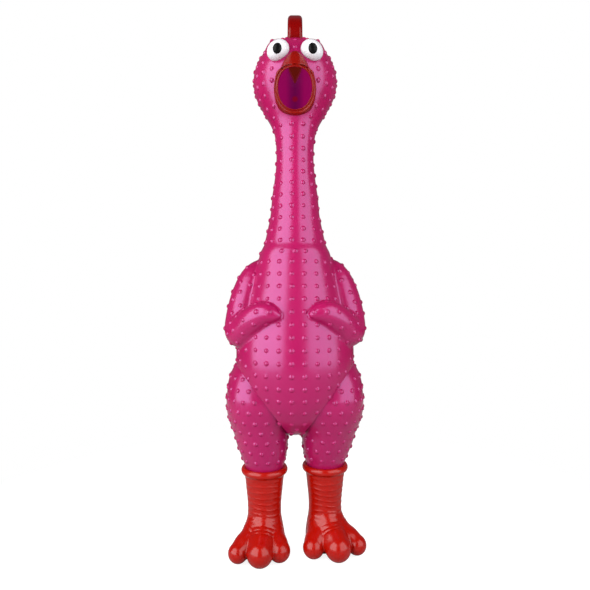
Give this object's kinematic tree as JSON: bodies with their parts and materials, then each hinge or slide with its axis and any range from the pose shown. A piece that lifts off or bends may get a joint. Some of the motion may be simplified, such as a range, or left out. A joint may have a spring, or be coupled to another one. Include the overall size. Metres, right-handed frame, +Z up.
{
  "type": "rubber chicken",
  "caption": "Standing soft vinyl squeaky chicken toy with open beak, comb, folded wings, red boots with toes, a bending neck and a squeaker inside.",
  "frame": {"origin": "centre of the bounding box in plan, on the plane of the soles", "axes": "+Z up from the soles to the comb, +Y towards the back, the beak and toes point to -Y, the bird's own left is +X"},
  "size_m": [0.1008, 0.0786, 0.3969],
  "materials": {
    "pink_vinyl": "glossy soft vinyl, slightly translucent, covered in small nubs",
    "red_vinyl": "glossy painted soft vinyl",
    "comb_vinyl": "glossy deep red soft vinyl",
    "white_vinyl": "glossy white paint on vinyl",
    "black_vinyl": "glossy black paint on vinyl",
    "squeaker_plastic": "plain white moulded plastic",
    "reed_film": "thin springy plastic film"
  },
  "bodies": {
    "torso": {"torso_shell": "pink_vinyl", "wing_left": "pink_vinyl", "wing_right": "pink_vinyl"},
    "belly": {"belly_panel": "pink_vinyl"},
    "neck_lower": {"neck_lower": "pink_vinyl"},
    "neck_upper": {"neck_upper": "pink_vinyl", "squeaker_housing": "squeaker_plastic", "squeaker_cap": "squeaker_plastic", "reed_plate": "squeaker_plastic", "reed_wedge": "squeaker_plastic"},
    "reed": {"reed_tongue": "reed_film"},
    "head": {"head_shell": "pink_vinyl", "comb": "comb_vinyl", "upper_beak": "red_vinyl", "lower_beak": "red_vinyl", "eye_left": "white_vinyl", "eye_right": "white_vinyl", "pupil_left": "black_vinyl", "pupil_right": "black_vinyl"},
    "leg_left": {"thigh_left": "pink_vinyl"},
    "leg_right": {"thigh_right": "pink_vinyl"},
    "boot_left": {"boot_left": "red_vinyl"},
    "boot_right": {"boot_right": "red_vinyl"}
  },
  "joints": [
    {"name": "neck_nod", "type": "hinge", "parent": "torso", "child": "neck_lower", "pos_m": [-0.00053, 0.00278, 0.2007], "axis": [1, 0, 0], "range_deg": [-30, 30], "stiffness_Nm_per_rad": 0.9},
    {"name": "neck_sway", "type": "hinge", "parent": "neck_lower", "child": "neck_upper", "pos_m": [-0.00053, 0.00278, 0.23995], "axis": [0, 1, 0], "range_deg": [-30, 30], "stiffness_Nm_per_rad": 0.6},
    {"name": "head_nod", "type": "hinge", "parent": "neck_upper", "child": "head", "pos_m": [-0.00053, 0.00278, 0.28318], "axis": [1, 0, 0], "range_deg": [-30, 35], "stiffness_Nm_per_rad": 0.4},
    {"name": "hip_left", "type": "hinge", "parent": "torso", "child": "leg_left", "pos_m": [0.02647, 0.00278, 0.113], "axis": [1, 0, 0], "range_deg": [-25, 25], "stiffness_Nm_per_rad": 3},
    {"name": "hip_right", "type": "hinge", "parent": "torso", "child": "leg_right", "pos_m": [-0.02753, 0.00278, 0.113], "axis": [1, 0, 0], "range_deg": [-25, 25], "stiffness_Nm_per_rad": 3},
    {"name": "boot_swivel_left", "type": "hinge", "parent": "leg_left", "child": "boot_left", "pos_m": [0.02187, 0.00678, 0.061], "axis": [0, 0, 1], "range_deg": [-15, 30], "stiffness_Nm_per_rad": 0.5},
    {"name": "boot_swivel_right", "type": "hinge", "parent": "leg_right", "child": "boot_right", "pos_m": [-0.02293, 0.00078, 0.061], "axis": [0, 0, 1], "range_deg": [-30, 10], "stiffness_Nm_per_rad": 0.5},
    {"name": "belly_squeeze", "type": "slide", "parent": "torso", "child": "belly", "axis": [0, 1, 0], "range_m": [0, 0.008], "stiffness_N_per_m": 400},
    {"name": "reed_flutter", "type": "hinge", "parent": "neck_upper", "child": "reed", "pos_m": [-0.00053, 0.00113, 0.269], "axis": [1, 0, 0], "range_deg": [0, 4], "stiffness_Nm_per_rad": 0.002}
  ]
}
